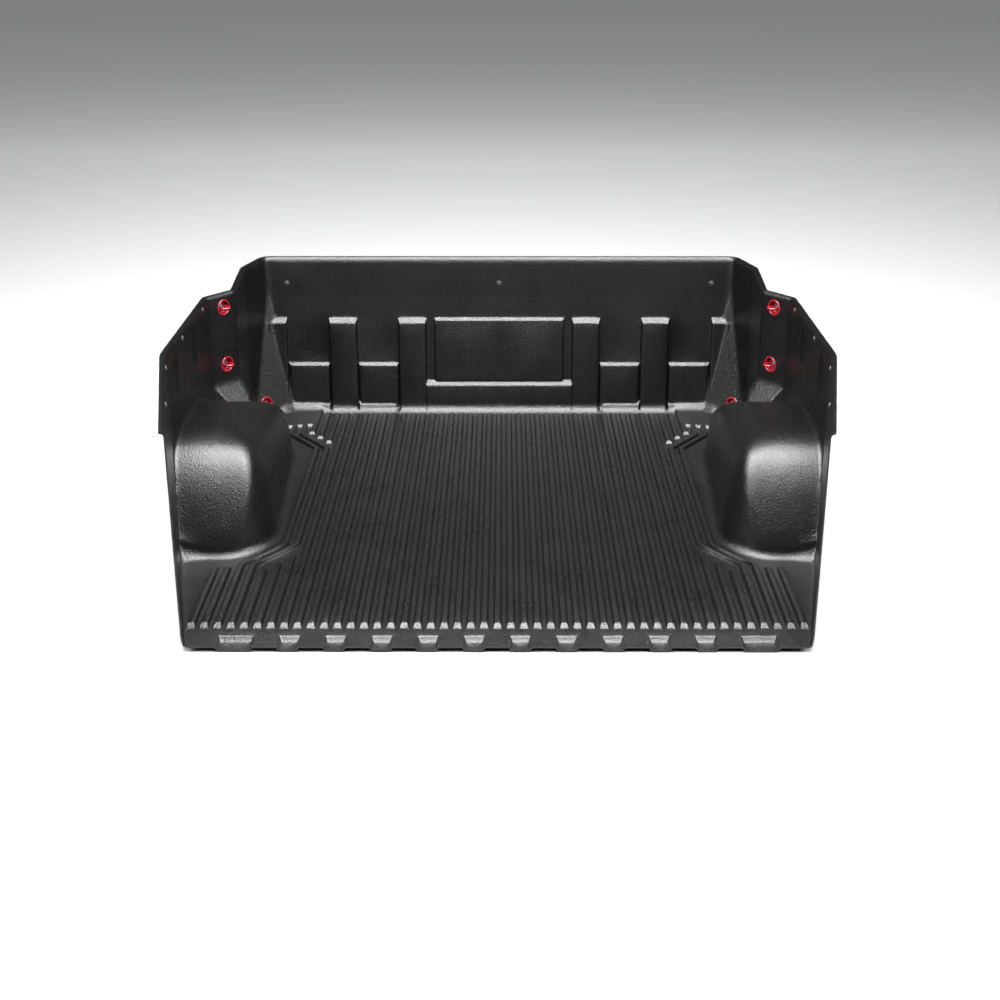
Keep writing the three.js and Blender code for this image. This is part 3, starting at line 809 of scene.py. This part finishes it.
def tub_mesh():
    bm = bmesh.new()
    patches = [floor_patch(), *wall_patch()]
    for spots, faces in patches:
        verts = [bm.verts.new((Vector(p) + SHIFT) * MM) for p in spots]
        for face in faces:
            if len(set(face)) == len(face):
                try:
                    bm.faces.new([verts[i] for i in face])
                except ValueError:
                    pass
    bm.normal_update()
    middle = Vector((0.0, 0.0, 0.30))
    for face in bm.faces:
        centre = face.calc_center_median()
        inward = Vector((-centre.x * 0.3, -(centre.y - 0.2) * 0.3, 1.0))
        if abs(face.normal.z) < 0.35:
            inward = Vector((middle.x - centre.x, middle.y - centre.y, 0.0))
            if centre.x > 0.6 and centre.y < 0.55:
                inward = Vector((-1, -0.2, 0)) if centre.z > 0.36 or centre.x > 0.87 else None
        if inward is not None and face.normal.dot(inward) < 0:
            face.normal_flip()
    bmesh.ops.remove_doubles(bm, verts=bm.verts[:], dist=0.00002)
    bmesh.ops.dissolve_degenerate(bm, dist=0.00001, edges=bm.edges[:])
    bmesh.ops.recalc_face_normals(bm, faces=bm.faces[:])
    up = sum((f.normal.z * f.calc_area() for f in bm.faces))
    if up < 0:
        bmesh.ops.reverse_faces(bm, faces=bm.faces[:])
    other = bm.copy()
    bmesh.ops.scale(other, vec=(-1, 1, 1), verts=other.verts[:])
    bmesh.ops.reverse_faces(other, faces=other.faces[:])
    half = bpy.data.meshes.new("half")
    other.to_mesh(half)
    other.free()
    bm.from_mesh(half)
    bpy.data.meshes.remove(half)
    bmesh.ops.remove_doubles(bm, verts=bm.verts[:], dist=0.00002)
    mesh = bpy.data.meshes.new("tub_skin")
    bm.to_mesh(mesh)
    bm.free()
    return mesh


def apply_modifiers(obj):
    graph = bpy.context.evaluated_depsgraph_get()
    mesh = bpy.data.meshes.new_from_object(obj.evaluated_get(graph))
    old = obj.data
    obj.modifiers.clear()
    obj.data = mesh
    bpy.data.meshes.remove(old)


def settle(obj, body, nodes, angle=38):
    obj.data.shade_smooth()
    obj.data.set_sharp_from_angle(angle=math.radians(angle))
    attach(obj, body)
    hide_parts(*nodes)


def lathe(profile, sides):
    """A closed profile (radius, height) turned about z. Points on the axis close it."""
    bm = bmesh.new()
    rings = []
    for r, z in profile:
        if r < 1e-6:
            rings.append([bm.verts.new((0, 0, z * MM))])
        else:
            rings.append([bm.verts.new((r * math.cos(math.tau * k / sides) * MM,
                                        r * math.sin(math.tau * k / sides) * MM, z * MM))
                          for k in range(sides)])
    for low, high in zip(rings[:-1], rings[1:]):
        for k in range(sides):
            a, b = low[k % len(low)], low[(k + 1) % len(low)]
            c, d = high[(k + 1) % len(high)], high[k % len(high)]
            corner = []
            for v in (a, b, c, d):
                if v not in corner:
                    corner.append(v)
            if len(corner) > 2:
                bm.faces.new(corner)
    bmesh.ops.remove_doubles(bm, verts=bm.verts[:], dist=1e-7)
    bmesh.ops.recalc_face_normals(bm, faces=bm.faces[:])
    return finished(bm)


def finished(bm):
    mesh = bpy.data.meshes.new("part")
    bm.to_mesh(mesh)
    bm.free()
    return mesh


def arc(centre, radius, start, end, count):
    return [(centre[0] + radius * math.cos(math.radians(start + (end - start) * k / count)),
             centre[1] + radius * math.sin(math.radians(start + (end - start) * k / count)))
            for k in range(count + 1)]


def swept(points, radius, sides):
    """A round bar along a polyline, closed at both ends."""
    bm = bmesh.new()
    rings = []
    for i, point in enumerate(points):
        tangent = (points[min(i + 1, len(points) - 1)] - points[max(i - 1, 0)]).normalized()
        side = Vector((0, 1, 0))
        across = tangent.cross(side).normalized()
        shrink = radius
        rings.append([bm.verts.new((point + side * math.cos(math.tau * k / sides) * shrink
                                    + across * math.sin(math.tau * k / sides) * shrink) * MM)
                      for k in range(sides)])
    for low, high in zip(rings[:-1], rings[1:]):
        for k in range(sides):
            bm.faces.new((low[k], low[(k + 1) % sides], high[(k + 1) % sides], high[k]))
    bm.faces.new(rings[0])
    bm.faces.new(rings[-1])
    bmesh.ops.recalc_face_normals(bm, faces=bm.faces[:])
    return finished(bm)


def rivet_mesh():
    head = arc((7.4, 1.0), 2.1, 0, 60, 6)
    profile = [(2.3, -14), (2.8, -14), (3.6, -12), (3.6, 0.3), (9.5, 0.3), (9.5, 0.7)]
    profile += head + [(7.2, 3.0), (4.9, 3.0), (4.7, 2.6), (2.3, 2.6), (2.3, -14)]
    return lathe(profile, 40)


def pin_mesh():
    profile = [(0, -13), (1.6, -13), (2.0, -12.4), (2.0, 2.9), (4.2, 2.9)]
    profile += [(4.2 * math.cos(a), 3.1 + 1.5 * math.sin(a)) for a in np.radians(np.arange(0, 90, 10))]
    profile += [(0, 4.6)]
    return lathe(profile, 32)


def clip_mesh():
    """Bent spring strip: a front leaf against the liner, a bend and a sprung rear leaf."""
    near = -SHEET - 0.3
    middle = [(y, near - 0.6) for y in np.linspace(-10.5, 10.5, 6)]
    middle += [(10.5 + 1.9 * math.sin(a), near - 2.5 + 1.9 * math.cos(a))
               for a in np.radians(np.arange(20, 181, 20))]
    middle += [(4, near - 4.5), (-4, near - 4.4), (-8, near - 4.5), (-10.4, near - 5.6)]
    line = np.array(middle)
    normals = line_normals(line)
    outer, inner = line + normals * 0.55, line - normals * 0.55
    bm = bmesh.new()
    rows = []
    for a, b in zip(outer, inner):
        rows.append([bm.verts.new((x * MM, p[0] * MM, p[1] * MM)) for x in (-8, 8) for p in (a, b)])
    for low, high in zip(rows[:-1], rows[1:]):
        for i, j in ((0, 1), (1, 3), (3, 2), (2, 0)):
            bm.faces.new((low[i], low[j], high[j], high[i]))
    for row in (rows[0], rows[-1]):
        bm.faces.new((row[0], row[1], row[3], row[2]))
    bmesh.ops.recalc_face_normals(bm, faces=bm.faces[:])
    return finished(bm)


def cup_mesh():
    lip = 23.5 - 0.3 - 1.6
    profile = [(5.4, -14), (18.5, -14)] + arc((18.5, -11.5), 2.5, -70, -8, 4)
    profile += [(lip, 0.3), (25.2, 0.3)] + arc((25.2, 1.1), 0.8, -80, 80, 6)
    profile += [(lip + 1.6, 2.1)] + arc((lip + 1.4, 0.6), 1.9, 96, 160, 5)
    profile += [(18.9, -10.4)] + arc((17.2, -10.9), 1.6, 10, -80, 4)[1:]
    profile += [(5.4, -12.4), (5.4, -14)]
    return lathe(profile, 64)


def loop_mesh():
    foot = 1.6 - 14 + 0.3
    points = [Vector((-13, 0, foot)), Vector((-13, 0, foot + 4)), Vector((-13, 0, 6))]
    for k in range(21):
        a = math.pi * (1 - k / 20)
        points.append(Vector((13 * math.cos(a), 0, 9 + 13 * math.sin(a))))
    points += [Vector((13, 0, 6)), Vector((13, 0, foot + 4)), Vector((13, 0, foot))]
    return swept(points, 4.0, 20)


def bolt_mesh():
    bm = bmesh.new()
    low = 1.6 - 14 + 0.3
    rings = []
    for radius, z, sides in ((4, low - 25, 24), (4, low, 24)):
        rings.append([bm.verts.new((radius * math.cos(math.tau * k / sides) * MM,
                                    radius * math.sin(math.tau * k / sides) * MM, z * MM))
                      for k in range(sides)])
    for radius, z, flat in ((8.2, low, 0), (8.2, low + 1.0, 0), (7.0, low + 1.2, 0), (7.2, low + 1.3, 1),
                            (7.2, low + 4.4, 1), (6.3, low + 5.0, 0)):
        ring = []
        for k in range(24):
            angle = math.tau * k / 24
            reach = radius
            if flat:
                turn = (angle + math.pi / 6) % (math.pi / 3) - math.pi / 6
                reach = radius * math.cos(math.pi / 6) / math.cos(turn)
            ring.append(bm.verts.new((reach * math.cos(angle) * MM, reach * math.sin(angle) * MM, z * MM)))
        rings.append(ring)
    for a, b in zip(rings[:-1], rings[1:]):
        for k in range(24):
            bm.faces.new((a[k], a[(k + 1) % 24], b[(k + 1) % 24], b[k]))
    bm.faces.new(rings[0])
    bm.faces.new(rings[-1])
    bmesh.ops.recalc_face_normals(bm, faces=bm.faces[:])
    return finished(bm)


# --- materials --------------------------------------------------------------------------------

def new_material(name, colour, roughness, metallic=0.0, specular=0.5):
    material = bpy.data.materials.new(name)
    material.use_nodes = True
    nodes, links = material.node_tree.nodes, material.node_tree.links
    shader = nodes["Principled BSDF"]
    shader.inputs["Base Color"].default_value = (*colour, 1)
    shader.inputs["Roughness"].default_value = roughness
    shader.inputs["Metallic"].default_value = metallic
    shader.inputs["Specular IOR Level"].default_value = specular
    where = nodes.new("ShaderNodeTexCoord").outputs["Object"]
    return material, nodes, links, shader, where


def noise(nodes, links, where, scale, detail=2.0, rough=0.5):
    node = nodes.new("ShaderNodeTexNoise")
    node.inputs["Scale"].default_value = scale
    node.inputs["Detail"].default_value = detail
    node.inputs["Roughness"].default_value = rough
    links.new(where, node.inputs["Vector"])
    return node.outputs["Fac"]


def spread(nodes, links, value, low, high, from_low=0.3, from_high=0.7):
    node = nodes.new("ShaderNodeMapRange")
    node.inputs["From Min"].default_value = from_low
    node.inputs["From Max"].default_value = from_high
    node.inputs["To Min"].default_value = low
    node.inputs["To Max"].default_value = high
    links.new(value, node.inputs["Value"])
    return node.outputs["Result"]


def add_bump(nodes, links, shader, height, strength, distance):
    node = nodes.new("ShaderNodeBump")
    node.inputs["Strength"].default_value = strength
    node.inputs["Distance"].default_value = distance
    links.new(height, node.inputs["Height"])
    links.new(node.outputs["Normal"], shader.inputs["Normal"])
    return node


def liner_plastic():
    material, nodes, links, shader, where = new_material(
        "liner_plastic", (0.003, 0.003, 0.0032), 0.3, 0.0, 0.5)
    grain = nodes.new("ShaderNodeTexVoronoi")
    grain.feature = "SMOOTH_F1"
    grain.inputs["Scale"].default_value = 270
    grain.inputs["Smoothness"].default_value = 0.6
    links.new(where, grain.inputs["Vector"])
    fine = noise(nodes, links, where, 620, 3.0)
    mix = nodes.new("ShaderNodeMath")
    mix.operation = "MULTIPLY_ADD"
    mix.inputs[1].default_value = 0.5
    links.new(fine, mix.inputs[0])
    links.new(grain.outputs["Distance"], mix.inputs[2])
    add_bump(nodes, links, shader, mix.outputs["Value"], 0.75, 0.0013)
    patchy = noise(nodes, links, where, 7, 4.0, 0.6)
    links.new(spread(nodes, links, patchy, 0.26, 0.33), shader.inputs["Roughness"])
    tone = nodes.new("ShaderNodeMapRange")
    tone.data_type = "FLOAT_VECTOR"
    tone.inputs[9].default_value = (0.0010, 0.0010, 0.0011)
    tone.inputs[10].default_value = (0.0026, 0.0026, 0.0027)
    links.new(noise(nodes, links, where, 260, 3.0), tone.inputs[6])
    links.new(tone.outputs["Vector"], shader.inputs["Base Color"])
    return material


def simple_plastic(name, colour, roughness):
    material, nodes, links, shader, where = new_material(name, colour, roughness)
    add_bump(nodes, links, shader, noise(nodes, links, where, 1500, 2.0), 0.25, 0.0002)
    links.new(spread(nodes, links, noise(nodes, links, where, 180), roughness - 0.06, roughness + 0.06),
              shader.inputs["Roughness"])
    return material


def red_paint():
    material, nodes, links, shader, where = new_material("red_paint", (0.17, 0.0025, 0.009), 0.3, 0.0, 0.5)
    shader.inputs["Coat Weight"].default_value = 0.35
    shader.inputs["Coat Roughness"].default_value = 0.12
    add_bump(nodes, links, shader, noise(nodes, links, where, 420, 2.0), 0.18, 0.0003)
    links.new(spread(nodes, links, noise(nodes, links, where, 90), 0.24, 0.38), shader.inputs["Roughness"])
    return material


def steel(name, colour, roughness):
    material, nodes, links, shader, where = new_material(name, colour, roughness, 1.0)
    links.new(spread(nodes, links, noise(nodes, links, where, 300, 3.0), roughness - 0.08, roughness + 0.1),
              shader.inputs["Roughness"])
    add_bump(nodes, links, shader, noise(nodes, links, where, 1200, 2.0), 0.2, 0.0001)
    return material


# --- assembly ---------------------------------------------------------------------------------

def place_part(name, mesh, material, place):
    mesh = mesh.copy()
    mesh.materials.clear()
    mesh.materials.append(material)
    obj = bpy.data.objects.new("fine_" + name, mesh)
    bpy.context.scene.collection.objects.link(obj)
    obj.matrix_world = seat(place)
    bpy.context.view_layer.update()
    body = "pin_" + name.removeprefix("rivet_pin_") if name.startswith("rivet_pin_") else "liner"
    settle(obj, body, [name], 34)


tub = bpy.data.objects.new("tub_skin", tub_mesh())
bpy.context.scene.collection.objects.link(tub)
thick = tub.modifiers.new("thickness", "SOLIDIFY")
thick.thickness = SHEET * MM
thick.offset = -1.0
apply_modifiers(tub)
for vertex in tub.data.vertices:
    vertex.co.y = max(vertex.co.y, (REAR_Y + SHIFT.y) * MM)
tub.data.materials.clear()
tub.data.materials.append(liner_plastic())
settle(tub, "liner", ["liner_tub"], 36)

RIVET_LOOK = simple_plastic("rivet_plastic", (0.011, 0.011, 0.011), 0.5)
PIN_LOOK = simple_plastic("pin_plastic", (0.02, 0.02, 0.021), 0.24)
CLIP_LOOK = steel("clip_steel", (0.42, 0.43, 0.45), 0.35)
RED_LOOK = red_paint()
BOLT_LOOK = steel("bolt_steel", (0.22, 0.22, 0.24), 0.38)

rivet, pin, clip = rivet_mesh(), pin_mesh(), clip_mesh()
for name, where in RIVETS.items():
    place_part("rivet_" + name, rivet, RIVET_LOOK, where)
    place_part("rivet_pin_" + name, pin, PIN_LOOK, where)
    if name.startswith("rail"):
        place_part("rail_clip_" + name.removeprefix("rail_"), clip, CLIP_LOOK, where)
cup, loop, bolt = cup_mesh(), loop_mesh(), bolt_mesh()
for name, where in TIES.items():
    place_part("tie_cup_" + name, cup, RED_LOOK, where)
    place_part("tie_loop_" + name, loop, RED_LOOK, where)
    place_part("tie_bolt_" + name, bolt, BOLT_LOOK, where)
for spare in (rivet, pin, clip, cup, loop, bolt):
    bpy.data.meshes.remove(spare)


# --- stage ------------------------------------------------------------------------------------

def add_light(name, place, aim, size, power, colour=(1, 1, 1)):
    data = bpy.data.lights.new(name, "AREA")
    data.shape = "RECTANGLE"
    data.size, data.size_y = size
    data.energy = power
    data.color = colour
    lamp = bpy.data.objects.new(name, data)
    bpy.context.scene.collection.objects.link(lamp)
    lamp.location = place
    lamp.rotation_euler = (Vector(aim) - Vector(place)).to_track_quat("-Z", "Y").to_euler()
    return lamp


floor_mesh = bpy.data.meshes.new("ground")
GROUND_HALF, GROUND_Z = 60, -0.002
floor_mesh.from_pydata([(-GROUND_HALF, -GROUND_HALF, GROUND_Z), (GROUND_HALF, -GROUND_HALF, GROUND_Z),
                        (GROUND_HALF, GROUND_HALF, GROUND_Z), (-GROUND_HALF, GROUND_HALF, GROUND_Z)],
                       [], [(0, 1, 2, 3)])
ground = bpy.data.objects.new("ground", floor_mesh)
bpy.context.scene.collection.objects.link(ground)
# The ground's colour is painted lighter towards the far end: painted light standing in for lamp light that
# falls off with distance.
ground_look, nodes, links, shader, where = new_material("ground_painted_light", (0.36, 0.36, 0.36), 0.9)
split = nodes.new("ShaderNodeSeparateXYZ")
links.new(where, split.inputs["Vector"])
links.new(spread(nodes, links, split.outputs["Y"], 0.30, 1.0, 1.5, 7.0), shader.inputs["Base Color"])
floor_mesh.materials.append(ground_look)

world = bpy.data.worlds.new("studio")
bpy.context.scene.world = world
world.use_nodes = True
sky, sky_links = world.node_tree.nodes, world.node_tree.links
split = sky.new("ShaderNodeSeparateXYZ")
sky_links.new(sky.new("ShaderNodeTexCoord").outputs["Generated"], split.inputs["Vector"])
ramp = spread(sky, sky_links, split.outputs["Z"], 0.03, 0.5, 0.6, 0.95)
sky_links.new(ramp, sky["Background"].inputs["Strength"])
sky["Background"].inputs["Color"].default_value = (0.98, 0.99, 1.0, 1)

add_light("overhead", (0.0, -0.35, 3.3), (0.0, -0.2, 0.0), (4.2, 2.0), 640)
for word, side in (("left", -1), ("right", 1)):
    add_light("side_" + word, (side * 3.4, -1.6, 2.6), (0.0, -0.3, 0.2), (0.8, 2.0), 240)
add_light("rear_high", (0.0, -3.6, 4.4), (0.0, -0.4, 0.2), (3.6, 1.0), 360)

camera_data = bpy.data.cameras.new("camera")
camera_data.sensor_width = 36
camera_data.lens = 55.37
camera_data.clip_end = 60
camera = bpy.data.objects.new("camera", camera_data)
bpy.context.scene.collection.objects.link(camera)
camera.location = (0.013, -4.310, 1.730)
camera.rotation_euler = (math.radians(90 - 21.5), 0.0, math.radians(0.11))
bpy.context.scene.camera = camera
bpy.context.scene.view_settings.view_transform = "Standard"
